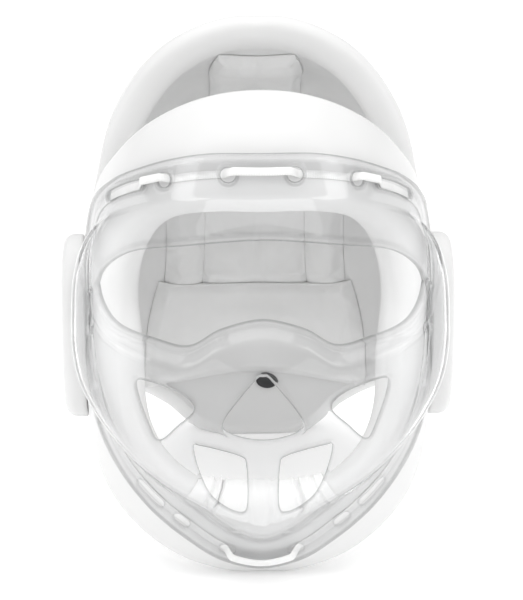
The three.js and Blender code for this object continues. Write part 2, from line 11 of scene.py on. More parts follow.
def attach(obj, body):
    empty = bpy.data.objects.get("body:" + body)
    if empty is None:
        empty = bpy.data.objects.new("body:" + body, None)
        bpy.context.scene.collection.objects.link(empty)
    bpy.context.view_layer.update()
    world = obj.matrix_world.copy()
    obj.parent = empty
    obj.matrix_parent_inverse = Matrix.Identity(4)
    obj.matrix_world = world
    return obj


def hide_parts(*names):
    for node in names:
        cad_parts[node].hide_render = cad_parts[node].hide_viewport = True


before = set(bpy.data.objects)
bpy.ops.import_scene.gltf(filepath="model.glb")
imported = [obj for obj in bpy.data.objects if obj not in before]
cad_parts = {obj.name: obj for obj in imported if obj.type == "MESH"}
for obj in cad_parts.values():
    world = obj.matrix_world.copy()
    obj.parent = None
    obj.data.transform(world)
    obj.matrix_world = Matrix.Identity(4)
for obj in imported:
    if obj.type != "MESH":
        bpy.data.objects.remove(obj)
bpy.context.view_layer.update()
scene = bpy.context.scene

# Driving sizes in millimetres and degrees; the foam's form and edges are those of the part's source.
# The chart gives places by azimuth and elevation about the head's centre: azimuth 0 is the face,
# 90 the wearer's left and 180 the back.
MM = 0.001
HEAD_CENTRE = np.array([0.0, 28.0, 148.0])
FOAM = 20.0
SEAM_AZ = 90.0
SEAM_GAP = 0.12  # degrees
SOFT_EDGE = 8.5
SEAM_EDGE = 2.5
MM_PER_DEGREE = 2.3  # taken for the shield all over

# Outside of the foam by elevation, every 20 degrees from the crown: side, front, back, power
FORM_STEP = 20.0
FORM = np.array([
    (156.5, 156.5, 156.5, 2.0),
    (148.5, 160.0, 141.0, 2.05),
    (130.0, 161.0, 139.0, 2.15),
    (111.0, 143.0, 121.0, 2.25),
    (105.0, 129.0, 115.0, 2.35),
    (105.5, 132.0, 117.0, 2.45),
    (120.0, 154.0, 131.0, 2.8),
    (146.0, 184.0, 166.0, 2.6),
    (158.0, 178.0, 196.0, 2.3),
])
SIDE, FRONT, BACK, POWER = range(4)

# Edges of the front foam ring on the chart: inner azimuth, elevation, outer azimuth, elevation
FRAME_EDGES = np.array([
    (0.0, 32.7, 0.0, 60.0),
    (14.0, 32.5, 20.0, 58.2),
    (28.0, 30.5, 41.6, 52.6),
    (37.0, 26.0, 62.0, 43.5),
    (42.4, 19.0, 80.0, 35.0),
    (44.0, 12.0, 90.0, 26.0),
    (44.0, 5.0, 90.0, 10.0),
    (42.0, -2.0, 90.0, -6.0),
    (39.5, -9.0, 90.0, -22.0),
    (37.5, -16.0, 90.0, -37.0),
    (35.0, -20.5, 77.0, -39.5),
    (31.0, -24.5, 60.0, -41.5),
    (25.5, -28.0, 47.0, -42.8),
    (18.0, -31.3, 34.0, -45.0),
    (9.5, -32.8, 18.0, -50.2),
    (0.0, -33.1, 0.0, -56.5),
])

# Lower edge of the rear shell from the ear to the nape: azimuth, elevation
REAR_RIM = np.array([
    (90.0, -39.5), (115.0, -42.0), (135.0, -46.0), (148.0, -51.0),
    (158.0, -57.0), (170.0, -59.5), (180.0, -60.0),
])
ARCH_START = 20.0

# Ear pads: outline centre, half sizes, roundness above and below, outermost X
EAR_Y, EAR_Z = 20.0, 115.0
EAR_HALF_WIDE, EAR_HALF_TALL = 34.0, 56.0
EAR_TOP_POWER, EAR_LOW_POWER = 2.3, 3.2
EAR_OUT_X = 120.3
EAR_SEAT = 0.4
EAR_LIP, EAR_CROWN, EAR_LEAST = 0.1, 5.0, 4.0  # share rounded off, bulge, least thickness
EAR_UNDER = (0.1, 0.3, 0.5, 0.7, 0.88, 0.96)  # rings of the underside, as shares of the outline
EAR_WALL = (0.985, 1.0, 1.0, 1.0)  # rings up the side, at these shares of its height:
EAR_WALL_UP = (0.04, 0.12, 0.25, 0.38)
EAR_TOP = (0.82, 0.7, 0.54, 0.4, 0.26, 0.12)  # rings of the top
EAR_SEAM_UP, EAR_SEAM_DEEP, EAR_SEAM_WIDE = 6.5, 0.9, 0.9

# Clear shield: its edge from the forehead round to the chin, azimuth and elevation
SHIELD_EDGE = np.array([
    (0.0, 42.3), (12.5, 41.8), (23.0, 40.2), (33.0, 38.0), (45.0, 35.0), (57.0, 30.5),
    (63.0, 25.0), (65.0, 17.0), (64.5, 6.0), (63.0, -5.0), (59.0, -14.0), (52.0, -21.0),
    (44.0, -27.0), (36.0, -32.0), (28.0, -36.5), (19.0, -41.2), (10.0, -46.0), (0.0, -48.5),
])
SHIELD_SEAT = 1.05
SHIELD_WALL = 2.8
RIM_AWAY = (0.0, 0.16, 0.55, 1.0, 1.4, 1.9, 2.6)  # rings of points beside each border
RIM_BEAD = (0.0, 0.4, 0.8, 0.97, 1.0, 0.55, 0.0)  # share of the bead's height at each ring
FLANGE = 14.0
BROW_FROM, BROW_SPAN = 18.0, 10.0  # the flange is wider above these elevations of its edge,
BROW_MIDDLE, BROW_CORNER, BROW_CORNER_AZ = 4.8, 10.5, 50.0  # most of all at its upper corners
# How far the shield stands in front of the foam's form, every 20 degrees down from an elevation;
# it rises to that past the flange, and further under the eye slot and at the nose
RISE_SPAN, RISE_TOP_EL = 48.0, 50.0
SHIELD_RISE = np.array([14.0, 16.5, 21.5, 27.0, 27.5, 22.0])
LEDGE_RISE, LEDGE_SPAN = 7.0, 4.2
NOSE_RISE, NOSE_AZ, NOSE_EL, NOSE_TALL = 5.0, 10.0, -2.0, 14.0

# Spacing of the shield's points, and the part of the chart that their grid covers
EDGE_PITCH, SLOT_PITCH, VENT_PITCH, SHEET_PITCH = 2.0, 1.6, 1.3, 1.6
SHEET_ROW = 0.866  # height of a row of even triangles, as a share of their side
SHEET_CLEAR = 0.7
SHEET_AZ, SHEET_LOW_EL, SHEET_HIGH_EL = 69.0, -50.0, 47.0

# Rims of the shield: height of the bead, then the painted shade on the plastic: a dark line at the border
# for its dark edge and a painted shadow band between two distances from it; low is the share of the line
# left below the brow
RIMS = {
    "edge": {"bead": 1.2, "line": 0.6, "low": 1.0, "from": 3.4, "to": 8.5, "band": 0.2},
    "slot": {"bead": 1.3, "line": 0.6, "low": 0.9, "from": 1.8, "to": 4.4, "band": 0.16},
    "vent": {"bead": 0.6, "line": 0.5, "low": 1.0, "from": 1.0, "to": 2.0, "band": 0.05},
    "hole": {"bead": 0.5, "line": 0.6, "low": 0.45, "from": 0.9, "to": 2.2, "band": 0.2},
}
SHADE_LINE_WIDE, SHADE_BAND_SOFT, SHADE_BAND_LOW = 0.6, 1.0, 0.3  # the painted shadow bands are fainter below the brow

# Openings of the shield on the chart; those on the middle line are given as one half
EYE_SLOT = np.array([
    (0.0, 26.8), (20.0, 24.5), (32.0, 21.4), (38.5, 14.5), (33.0, 7.2),
    (22.0, 5.0), (15.0, 4.6), (8.5, 8.6), (0.0, 10.8),
])
SLOT_END = 3  # row of the eye slot's outer end
CENTRE_VENT = np.array([(0.0, 0.2), (1.6, -0.7), (7.1, -8.4), (6.3, -10.9), (0.0, -12.1)])
SIDE_VENT = np.array([
    (24.9, -4.2), (22.8, -2.9), (16.0, -4.3), (13.1, -7.0), (16.4, -10.8), (19.6, -13.7), (21.4, -12.2),
])
LOWER_VENT = np.array([
    (13.0, -14.7), (11.8, -14.0), (4.6, -15.4), (3.2, -17.5),
    (3.2, -25.6), (5.0, -27.4), (9.0, -25.5), (11.0, -22.3),
])

# Lace: slots along the flange from the top middle, their width, and whether the lace is on top after each
LACE_SLOTS = [
    (15.4, 20.0, 7.6, False), (51.9, 56.5, 7.6, True), (70.0, 104.0, 5.4, False),
    (177.0, 195.0, 5.4, False), (204.0, 229.0, 5.4, False), (238.0, 254.0, 5.4, False),
    (297.0, 314.0, 5.4, False), (325.0, 332.0, 5.4, False), (357.0, 363.0, 6.0, True),
]
LACE_WIDE, LACE_THICK, LACE_FLAT = 4.4, 1.7, 0.7
LACE_SQUARE, LACE_ROUND = 0.55, 0.8  # powers of its section across and up
LACE_INSET, LACE_CLEAR = 6.3, 1.6
LACE_DIP, LACE_DIP_EARLY = 7.0, 1.0  # length of a dip through a slot, and how early it starts
LACE_UNDER_GAP, LACE_OVER_GAP = 0.15, 0.1
LACE_MIDDLE, LACE_CORNER = 1.6, 6.4  # how much higher the lace runs on the brow

# Soft parts inside: the chin cover, then the pads
COVER_REACH = 0.06  # half length, as a share of the way round the ring
COVER_NARROW = 0.9  # narrowing to the ends
COVER_FRONT_PART = 5  # it comes down one part in five of the band's flat front
COVER_WALL, COVER_SEAT = 2.4, 0.6
COVER_RIPPLES = [(0.5, 1.4, 0.8, 11), (0.08, 6.0, 0.5, 4)]  # height, waves along, waves down, seed
COVER_CREASES = [  # place along it from -1 to 1, lean and width on that scale, depth
    (0.70, -0.05, 0.035, 1.6), (0.58, 0.03, 0.025, 1.5), (0.22, -0.06, 0.040, 0.7),
    (-0.16, 0.05, 0.035, 0.9), (-0.54, 0.08, 0.030, 2.0), (-0.80, -0.04, 0.030, 1.0),
]
RIDGE_AWAY, RIDGE_WIDE, RIDGE_TALL = 1.9, 0.9, 0.55  # ridges beside a crease, in its width and depth
# Rear pads: X of both sides and elevation of the top
REAR_PADS = {"left": (31.1, 56.0, 40.0), "centre": (-31.0, 31.0, 78.0), "right": (-56.0, -31.1, 40.0)}
REAR_PAD_ABOVE, REAR_PAD_TAPER, REAR_PAD_THICK = 0.05, 0.4, 7.0
PAD_SEAT, PAD_ROUND = 0.12, 7.0
PAD_LEAST, PAD_UNEVEN = 0.3, 0.05
# Share of a pad's thickness left at a seam, a free side and a channel
PAD_SEAM, PAD_FREE, PAD_CHANNEL = 0.6, 0.06, 0.7
SEAM_FADE, SEAM_FADE_BELOW, SEAM_FADE_SPAN = 0.75, 6.0, 10.0  # seams fade where the side pads end
CHANNEL_HELD = 0.2  # points lower than this share of a lobe are held while it is puffed
PUFF_PRESSURE, PUFF_GROW, PUFF_CAP, PUFF_FRAMES, PUFF_QUALITY = 2.5, 0.03, 1.2, 20, 4
# Nape pad on the chart: half width at its top and bottom, then its top, sag and bottom
NAPE_HALF_TOP, NAPE_HALF_LOW, NAPE_TOP, NAPE_SAG, NAPE_LOW = 39.0, 53.0, -17.5, 5.0, -45.5
NAPE_THICK = 9.0
# Label: place and half sizes on the chart, thickness
LABEL_AZ, LABEL_EL, LABEL_HALF_AZ, LABEL_HALF_EL, LABEL_THICK = 175.8, -47.8, 3.7, 1.7, 0.9
LABEL_SEAT = 0.3

# Studio in metres: the camera as in the photograph, and soft lights with place, size and power
CAMERA_AZ, CAMERA_EL, CAMERA_FAR = -1.2, 22.0, 1.5
CAMERA_LENS, CAMERA_SENSOR = 150.0, 36.0  # millimetres
CAMERA_TARGET = (0.0022, 0.010, 0.1336)
SOFTBOXES = {
    "softbox_top": ((0.0, -0.2, 1.8), (2.2, 1.8), 13.0),
    "softbox_left": ((-1.2, -0.8, 0.7), (0.5, 1.2), 2.8),
    "softbox_right": ((1.2, -0.8, 0.7), (0.5, 1.2), 2.8),
}
LIGHT_AIM = (0.0, 0.0, 0.15)
SKY_STRENGTH, SKY_HORIZON, SKY_FULL_AT = 1.09, 0.36, 0.6
FLOOR_SIZE, FLOOR_DROP, FLOOR_GLOW = 40.0, 0.0004, 0.2


# Chart and form
def cubic(a, b, c, d, f):
    """Smooth value at share f of the way from b to c, which lie between a and d."""
    return b + 0.5 * f * (c - a + f * (2 * a - 5 * b + 4 * c - d + f * (3 * b - a - 3 * c + d)))


def spline(values, place):
    """Smooth values at fractional rows of a column."""
    last = len(values) - 1
    row = np.clip(np.floor(place), 0, last - 1).astype(int)
    f = place - row
    a, b, c, d = (values[np.clip(row + k, 0, last)] for k in (-1, 0, 1, 2))
    return cubic(a, b, c, d, f)


def closed_curve(points, share):
    """Smooth closed curve through a round of points, at shares of the way."""
    place = (np.asarray(share) % 1.0) * len(points)
    row = np.floor(place).astype(int)
    f = (place - row)[..., None]
    a, b, c, d = (points[(row + k) % len(points)] for k in (-1, 0, 1, 2))
    return cubic(a, b, c, d, f)


def both_halves(rows, flips=(0,)):
    """Rows of one half and their mirror image, as one closed round."""
    mirrored = rows[1:-1][::-1].copy()
    for column in flips:
        mirrored[:, column] *= -1
    return np.vstack([rows, mirrored])


def unit(vectors):
    return vectors / np.linalg.norm(vectors, axis=-1, keepdims=True)


def lerp(a, b, t):
    return a + (b - a) * t


def smoothstep(value):
    t = np.clip(value, 0.0, 1.0)
    return t * t * (3 - 2 * t)


def direction(az, el):
    """Unit vectors from the head's centre at places on the chart."""
    a, e = np.radians(az), np.radians(el)
    return np.stack([np.cos(e) * np.sin(a), -np.cos(e) * np.cos(a), np.sin(e)], -1)


# The front column runs on past the crown into the back one
COLUMNS = {column: np.concatenate([[FORM[1, past]], FORM[:, column]])
           for column, past in ((SIDE, SIDE), (FRONT, BACK), (BACK, FRONT), (POWER, POWER))}


def reach(way):
    """Distance from the head's centre to the foam's outside along unit vectors."""
    place = 1 + (90 - np.degrees(np.arcsin(np.clip(way[..., 2], -1, 1)))) / FORM_STEP
    level = np.maximum(np.hypot(way[..., 0], way[..., 1]), 1e-9)
    side = spline(COLUMNS[SIDE], place)
    depth = np.where(way[..., 1] <= 0, spline(COLUMNS[FRONT], place), spline(COLUMNS[BACK], place))
    power = spline(COLUMNS[POWER], place)
    across = np.abs(way[..., 0] / level / side) ** power
    along = np.abs(way[..., 1] / level / depth) ** power
    return (across + along) ** (-1 / power)


def form_point(way):
    return way * reach(way)[..., None] + HEAD_CENTRE


def form_normal(way):
    """Outward normals of the foam's form along unit vectors."""
    steep = np.abs(way[..., :1]) >= 0.9
    helper = np.where(steep, np.array([0.0, 0.0, 1.0]), np.array([1.0, 0.0, 0.0]))
    right = unit(np.cross(helper, way))
    up = np.cross(way, right)
    step = 0.06
    slope_right = form_point(unit(way + step * right)) - form_point(unit(way - step * right))
    slope_up = form_point(unit(way + step * up)) - form_point(unit(way - step * up))
    return unit(np.cross(slope_right, slope_up))


def skin(way, depth):
    """Points sunk below the foam's outside along its normals; a negative depth stands proud."""
    return form_point(way) - form_normal(way) * np.asarray(depth)[..., None]


# Mesh helpers
def grid_faces(rows, columns, loop_rows=False, loop_columns=False):
    """Quads over a grid of points, which may close on itself either way."""
    row_count, column_count = rows - (not loop_rows), columns - (not loop_columns)
    r, c = np.meshgrid(np.arange(row_count), np.arange(column_count), indexing="ij")
    r2, c2 = (r + 1) % rows, (c + 1) % columns
    quads = np.stack([r * columns + c, r * columns + c2, r2 * columns + c2, r2 * columns + c], -1)
    return quads.reshape(-1, 4).tolist()


def closed_sheet_faces(columns, rows):
    """Faces of a front grid, a back grid and the wall between their borders."""
    count = columns * rows
    faces = grid_faces(columns, rows)
    faces += [[count + i for i in face[::-1]] for face in grid_faces(columns, rows)]
    border = [i * rows for i in range(columns)] + [(columns - 1) * rows + j for j in range(1, rows)]
    border += [i * rows + rows - 1 for i in range(columns - 2, -1, -1)] + list(range(rows - 2, 0, -1))
    faces += [[a, b, count + b, count + a] for a, b in zip(border, border[1:] + border[:1])]
    return faces


def zip_cap(start, count):
    """Faces that close a ring whose two long sides run there and back."""
    last = start + count - 1
    return [[start + i, start + i + 1, last - 1 - i, last - i] for i in range(count // 2 - 1)]


def make_piece(name, points, faces, material, node, painted_shade=None):
    """Smooth closed piece standing for a CAD node; a painted shade given per point becomes a point
    attribute.
    """
    mesh = bpy.data.meshes.new(name)
    mesh.from_pydata((np.asarray(points).reshape(-1, 3) * MM).tolist(), [], faces)
    if painted_shade is not None:
        mesh.attributes.new("painted_shade", "FLOAT", "POINT").data.foreach_set("value", painted_shade)
    work = bmesh.new()
    work.from_mesh(mesh)
    bmesh.ops.remove_doubles(work, verts=work.verts, dist=1e-6)
    bmesh.ops.recalc_face_normals(work, faces=work.faces)
    work.to_mesh(mesh)
    work.free()
    mesh.shade_smooth()
    mesh.materials.append(material)
    piece = bpy.data.objects.new(name, mesh)
    scene.collection.objects.link(piece)
    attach(piece, "root")
    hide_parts(node)
    return piece


def pressed_on_floor(points):
    """Foam that would pass the floor lies flat on it."""
    points[..., 2] = np.maximum(points[..., 2], 0.0)
    return points


# Materials
NOISE_LOW, NOISE_HIGH = 0.3, 0.7  # the part of a noise factor that is spread over a range


def new_material(name, **constants):
    """Material with some of its shader's sockets set, named with underscores for spaces."""
    material = bpy.data.materials.new(name)
    material.use_nodes = True
    shader = material.node_tree.nodes["Principled BSDF"]
    for socket, value in constants.items():
        shader.inputs[socket.replace("_", " ")].default_value = value
    return material, material.node_tree, shader


def add_noise(tree, scale, detail=3.0, stretch=(1.0, 1.0, 1.0)):
    """Noise in the piece's own coordinates; returns its factor socket."""
    place = tree.nodes.new("ShaderNodeTexCoord")
    mapping = tree.nodes.new("ShaderNodeMapping")
    mapping.inputs["Scale"].default_value = stretch
    noise = tree.nodes.new("ShaderNodeTexNoise")
    noise.inputs["Scale"].default_value = scale
    noise.inputs["Detail"].default_value = detail
    tree.links.new(place.outputs["Object"], mapping.inputs["Vector"])
    tree.links.new(mapping.outputs["Vector"], noise.inputs["Vector"])
    return noise.outputs["Fac"]


def add_roughness(tree, shader, scale, low, high):
    """Roughness between two values by noise of a given scale."""
    noise = add_noise(tree, scale)
    node = tree.nodes.new("ShaderNodeMapRange")
    node.inputs["From Min"].default_value = NOISE_LOW
    node.inputs["From Max"].default_value = NOISE_HIGH
    node.inputs["To Min"].default_value = low
    node.inputs["To Max"].default_value = high
    tree.links.new(noise, node.inputs["Value"])
    tree.links.new(node.outputs["Result"], shader.inputs["Roughness"])


def add_tint(tree, shader, source, dark, light):
    """Base colour between two tones by a noise factor."""
    ramp = tree.nodes.new("ShaderNodeValToRGB")
    ramp.color_ramp.elements[0].position = NOISE_LOW
    ramp.color_ramp.elements[0].color = (*dark, 1.0)
    ramp.color_ramp.elements[1].position = NOISE_HIGH
    ramp.color_ramp.elements[1].color = (*light, 1.0)
    tree.links.new(source, ramp.inputs["Fac"])
    tree.links.new(ramp.outputs["Color"], shader.inputs["Base Color"])
    return ramp.outputs["Color"]


def add_bump(tree, shader, source, strength, distance):
    bump = tree.nodes.new("ShaderNodeBump")
    bump.inputs["Strength"].default_value = strength
    bump.inputs["Distance"].default_value = distance
    tree.links.new(source, bump.inputs["Height"])
    tree.links.new(bump.outputs["Normal"], shader.inputs["Normal"])


def add_weave(tree, across, along):
    """Over-and-under weave from two crossed waves on the piece's UV map; returns its height socket."""
    place = tree.nodes.new("ShaderNodeTexCoord")
    heights = []
    for bands, axis in ((across, "X"), (along, "Y")):
        wave = tree.nodes.new("ShaderNodeTexWave")
        wave.bands_direction = axis
        wave.inputs["Scale"].default_value = bands
        tree.links.new(place.outputs["UV"], wave.inputs["Vector"])
        heights.append(wave.outputs["Fac"])
    mix = tree.nodes.new("ShaderNodeMath")
    mix.operation = "MULTIPLY"
    tree.links.new(heights[0], mix.inputs[0])
    tree.links.new(heights[1], mix.inputs[1])
    return mix.outputs["Value"]


def foam_skin():
    """Dipped white foam: satin, with the faint pebble and cloudiness of a vinyl skin."""
    material, tree, shader = new_material("foam_skin", IOR=1.5, Coat_Weight=0.12, Coat_Roughness=0.18)
    add_tint(tree, shader, add_noise(tree, 14.0), (0.68, 0.68, 0.678), (0.72, 0.72, 0.718))
    add_roughness(tree, shader, 55.0, 0.30, 0.42)
    add_bump(tree, shader, add_noise(tree, 1500.0, 2.0), 0.10, 0.0002)
    return material


def clear_shield():
    """Moulded polycarbonate: faint haze and ripples, darker where more of it is looked through, with
    painted shade along its borders and openings.

    Its coat makes the reflections; the low IOR keeps what lies behind it in its place."""
    material, tree, shader = new_material("clear_shield", IOR=1.02, Transmission_Weight=1.0,
                                         Coat_Weight=1.0, Coat_Roughness=0.03, Coat_IOR=1.5)
    clear = add_tint(tree, shader, add_noise(tree, 9.0), (0.928, 0.93, 0.932), (0.948, 0.95, 0.952))
    # Painted shade: the per-point attribute mixes near-black into the tint, giving dark lines at the
    # borders and painted shadow bands beside them
    rim = tree.nodes.new("ShaderNodeAttribute")
    rim.attribute_name = "painted_shade"
    mix = tree.nodes.new("ShaderNodeMixRGB")
    mix.inputs["Color2"].default_value = (0.05, 0.05, 0.055, 1.0)
    tree.links.new(rim.outputs["Fac"], mix.inputs["Fac"])
    tree.links.new(clear, mix.inputs["Color1"])
    tree.links.new(mix.outputs["Color"], shader.inputs["Base Color"])
    add_roughness(tree, shader, 30.0, 0.01, 0.03)
    add_bump(tree, shader, add_noise(tree, 26.0, 1.0), 0.03, 0.001)
    absorption = tree.nodes.new("ShaderNodeVolumeAbsorption")
    absorption.inputs["Color"].default_value = (0.5, 0.5, 0.502, 1.0)
    absorption.inputs["Density"].default_value = 32.0
    tree.links.new(absorption.outputs["Volume"], tree.nodes["Material Output"].inputs["Volume"])
    return material


def lining():
    """White stretch lining: fine knit grain and soft creasing."""
    material, tree, shader = new_material("soft_lining", Sheen_Weight=0.25, Sheen_Roughness=0.5)
    add_tint(tree, shader, add_noise(tree, 28.0), (0.76, 0.76, 0.757), (0.81, 0.81, 0.808))
    add_roughness(tree, shader, 80.0, 0.55, 0.75)
    add_bump(tree, shader, add_noise(tree, 1900.0, 2.0, (1.0, 1.0, 0.5)), 0.25, 0.0003)
    return material


def woven(name, dark, light, across, along):
    """Woven cloth between two tones, with the number of bands of its weave each way."""
    material, tree, shader = new_material(name, Sheen_Weight=0.2)
    add_tint(tree, shader, add_noise(tree, 160.0), dark, light)
    add_roughness(tree, shader, 300.0, 0.7, 0.9)
    add_bump(tree, shader, add_weave(tree, across, along), 0.6, 0.0004)
    return material


FOAM_SKIN = foam_skin()
CLEAR = clear_shield()
LINING = lining()
LACE_CLOTH = woven("lace_weave", (0.84, 0.84, 0.835), (0.91, 0.91, 0.906), 3.0, 180.0)
LABEL_CLOTH = woven("label_weave", (0.035, 0.035, 0.038), (0.055, 0.055, 0.058), 14.0, 8.0)

# Front foam ring
FRAME_ROUND = both_halves(FRAME_EDGES, (0, 2))
EDGE_BENDS = np.radians(np.linspace(90, 0, 9)[:-1])


def station_lines(share):
    """Chart ends of the ring's cross lines at shares of the way round, and which end at the seam."""
    ends = closed_curve(FRAME_ROUND, share)
    seam = SEAM_AZ - SEAM_GAP
    at_seam = np.abs(ends[:, 2]) > seam - 1
    ends[:, 2] = np.clip(ends[:, 2], -seam, seam)
    return ends, at_seam


def along_lines(ends, t):
    """Unit vectors at shares t of cross lines given by their chart ends."""
    return direction(lerp(ends[:, :1], ends[:, 2:3], t), lerp(ends[:, 1:2], ends[:, 3:4], t))


def line_lengths(way_at):
    points = form_point(way_at(np.linspace(0, 1, 13)[None, :]))
    return np.linalg.norm(np.diff(points, axis=1), axis=-1).sum(1)


def band_profile(length, edge_a, edge_b, steps):
    """Distance along and depth of one long side of a band with rounded ends, a row for each cross line."""
    bend_in, bend_down = 1 - np.sin(EDGE_BENDS), 1 - np.cos(EDGE_BENDS)
    flat = edge_a[:, None] + (length - edge_a - edge_b)[:, None] * np.linspace(0, 1, steps + 1)
    far = length[:, None] - edge_b[:, None] * bend_in[::-1]
    run = np.concatenate([edge_a[:, None] * bend_in, flat, far], 1)
    depth = np.concatenate([edge_a[:, None] * bend_down, 0 * flat, edge_b[:, None] * bend_down[::-1]], 1)
    return run, depth


def band_rings(way_at, edge_a, edge_b, steps):
    """Closed rings round a foam band's section: out along its outside, back along its inside."""
    length = line_lengths(way_at)
    run, depth = band_profile(length, edge_a, edge_b, steps)
    way = way_at(run / length[:, None])
    outside = skin(way, depth)
    inside = skin(way, FOAM - depth)
    return np.concatenate([outside, inside[:, ::-1]], 1)


def build_face_frame():
    stations = 360
    ends, at_seam = station_lines(np.arange(stations) / stations)
    outer = np.where(at_seam, SEAM_EDGE, SOFT_EDGE)
    inner = np.full(stations, SOFT_EDGE)
    rings = band_rings(lambda t: along_lines(ends, t), inner, outer, steps=40)
    faces = grid_faces(*rings.shape[:2], loop_rows=True, loop_columns=True)
    points = pressed_on_floor(rings)
    piece = make_piece("face_frame_foam", points, faces, FOAM_SKIN, "face_frame")


# Back foam shell
def build_rear_shell():
    columns = 240
    share = np.linspace(0, 1, columns + 1)
    place = (1 - np.abs(1 - 2 * share)) * (len(REAR_RIM) - 1)
    side = np.where(share < 0.5, 1.0, -1.0)
    seam = SEAM_AZ + SEAM_GAP
    low = direction(side * np.maximum(spline(REAR_RIM[:, 0], place), seam), spline(REAR_RIM[:, 1], place))
    turn = np.radians(lerp(ARCH_START, 180 - ARCH_START, share))
    lean = np.full_like(turn, math.tan(math.radians(SEAM_GAP)))
    high = unit(np.stack([np.cos(turn), lean, np.sin(turn)], -1))
    angle = np.arccos(np.clip((high * low).sum(-1), -1, 1))[:, None]

    def way_at(t):
        from_high = high[:, None] * np.sin((1 - t) * angle)[..., None]
        from_low = low[:, None] * np.sin(t * angle)[..., None]
        return unit(from_high + from_low)

    soft = np.full(columns + 1, SOFT_EDGE)
    soft[[0, -1]] = SEAM_EDGE
    rings = band_rings(way_at, soft, np.full(columns + 1, SOFT_EDGE), steps=64)
    faces = grid_faces(*rings.shape[:2], loop_columns=True)
    count = rings.shape[1]
    faces += zip_cap(0, count) + zip_cap(columns * count, count)
    points = pressed_on_floor(rings)
    piece = make_piece("rear_shell_foam", points, faces, FOAM_SKIN, "rear_shell")


# Ear pads
def side_x(y, z):
    """X of the foam's outside at the wearer's left, closed in on from a first guess."""
    first_guess, rounds = 100.0, 14
    x = np.full_like(y, first_guess)
    for _ in range(rounds):
        way = unit(np.stack([x, y - HEAD_CENTRE[1], z - HEAD_CENTRE[2]], -1))
        x = way[..., 0] * reach(way)
    return x


def build_ear_pad(name, side):
    around = 420
    turn = np.linspace(0, 2 * np.pi, around, endpoint=False)
    power = 2 / np.where(np.sin(turn) > 0, EAR_TOP_POWER, EAR_LOW_POWER)
    wide = np.sign(np.cos(turn)) * np.abs(np.cos(turn)) ** power * EAR_HALF_WIDE
    tall = np.sign(np.sin(turn)) * np.abs(np.sin(turn)) ** power * EAR_HALF_TALL
    bend = np.radians(np.linspace(0, 90, 13))
    lip, lip_up = 1 - (1 - np.cos(bend)) * EAR_LIP, 0.5 + 0.5 * np.sin(bend)
    shrink = np.concatenate([EAR_UNDER, EAR_WALL, lip, EAR_TOP])
    share = np.concatenate([np.zeros(len(EAR_UNDER)), EAR_WALL_UP, lip_up, np.ones(len(EAR_TOP))])
    y = EAR_Y + shrink[:, None] * wide
    z = EAR_Z + shrink[:, None] * tall
    seam_z = EAR_Z - EAR_HALF_TALL + EAR_SEAM_UP
    in_seam = np.exp(-((z - seam_z) / EAR_SEAM_WIDE) ** 2) * (share[:, None] > 0)
    y = EAR_Y + (y - EAR_Y) * (1 - EAR_SEAM_DEEP / EAR_HALF_WIDE * in_seam)
    foot = side_x(y, z) + EAR_SEAT
    outer = np.maximum(EAR_OUT_X - EAR_CROWN * shrink[:, None] ** 2, foot + EAR_LEAST)
    x = side * lerp(foot, outer, share[:, None])
    rings = np.stack([x, y, z], -1)
    faces = grid_faces(*rings.shape[:2], loop_columns=True)
    last = rings.shape[0] * around
    faces += [list(range(around)), list(range(last - around, last))]
    piece = make_piece(name + "_foam", rings, faces, FOAM_SKIN, name)


# Clear shield
EDGE_ROUND = both_halves(SHIELD_EDGE)
SLOT_ROUND = both_halves(EYE_SLOT)
SLOT_LOW_SHARE = np.linspace(SLOT_END, len(EYE_SLOT) - 1, 200) / len(SLOT_ROUND)
SLOT_LOW = closed_curve(SLOT_ROUND, SLOT_LOW_SHARE)[::-1]


def edge_by_turn():
    """Turn about the chart's middle and distance from it, for points all along the shield's edge."""
    edge = closed_curve(EDGE_ROUND, np.linspace(0, 1, 2000, endpoint=False))
    edge = edge[np.argsort(np.arctan2(edge[:, 1], edge[:, 0]))]
    return np.arctan2(edge[:, 1], edge[:, 0]), np.hypot(edge[:, 0], edge[:, 1])


EDGE_TURN, EDGE_SPAN = edge_by_turn()


def chart_inset(az, el):
    """Distance of chart places from the shield's edge, along the line from the chart's middle."""
    span = np.interp(np.arctan2(el, az), EDGE_TURN, EDGE_SPAN, period=2 * np.pi)
    return (span - np.hypot(az, el)) * MM_PER_DEGREE


def slot_low(az):
    """Elevation of the eye slot's lower edge, rising again past its ends."""
    across = np.abs(az)
    return np.interp(across, SLOT_LOW[:, 0], SLOT_LOW[:, 1]) + np.maximum(0, across - SLOT_LOW[-1, 0])


def shield_rise(az, el):
    """How far the shield stands in front of the foam's form."""
    ramp = np.sin(np.pi / 2 * np.clip((chart_inset(az, el) - FLANGE) / RISE_SPAN, 0, 1))
    step = smoothstep((slot_low(az) - el) / LEDGE_SPAN)
    nose = np.exp(-((az / NOSE_AZ) ** 2) - ((el - NOSE_EL) / NOSE_TALL) ** 2)
    rise = spline(SHIELD_RISE, (RISE_TOP_EL - el) / FORM_STEP)
    return ramp * (rise + LEDGE_RISE * step + NOSE_RISE * nose)


def shield_point(az, el, lift):
    way = direction(az, el)
    return skin(way, -lift) + way * shield_rise(az, el)[..., None]


def on_brow(el):
    return smoothstep((el - BROW_FROM) / BROW_SPAN)


def brow_more(points, middle, corner):
    """Extra width on the brow at points of the edge, from its middle to its upper corners."""
    return lerp(middle, corner, smoothstep(np.abs(points[:, 0]) / BROW_CORNER_AZ)) * on_brow(points[:, 1])


def moved_out(points, distance):
    """Chart points moved away from the chart's middle by distances in millimetres."""
    return points * (1 + distance / MM_PER_DEGREE / np.hypot(points[:, 0], points[:, 1]))[:, None]


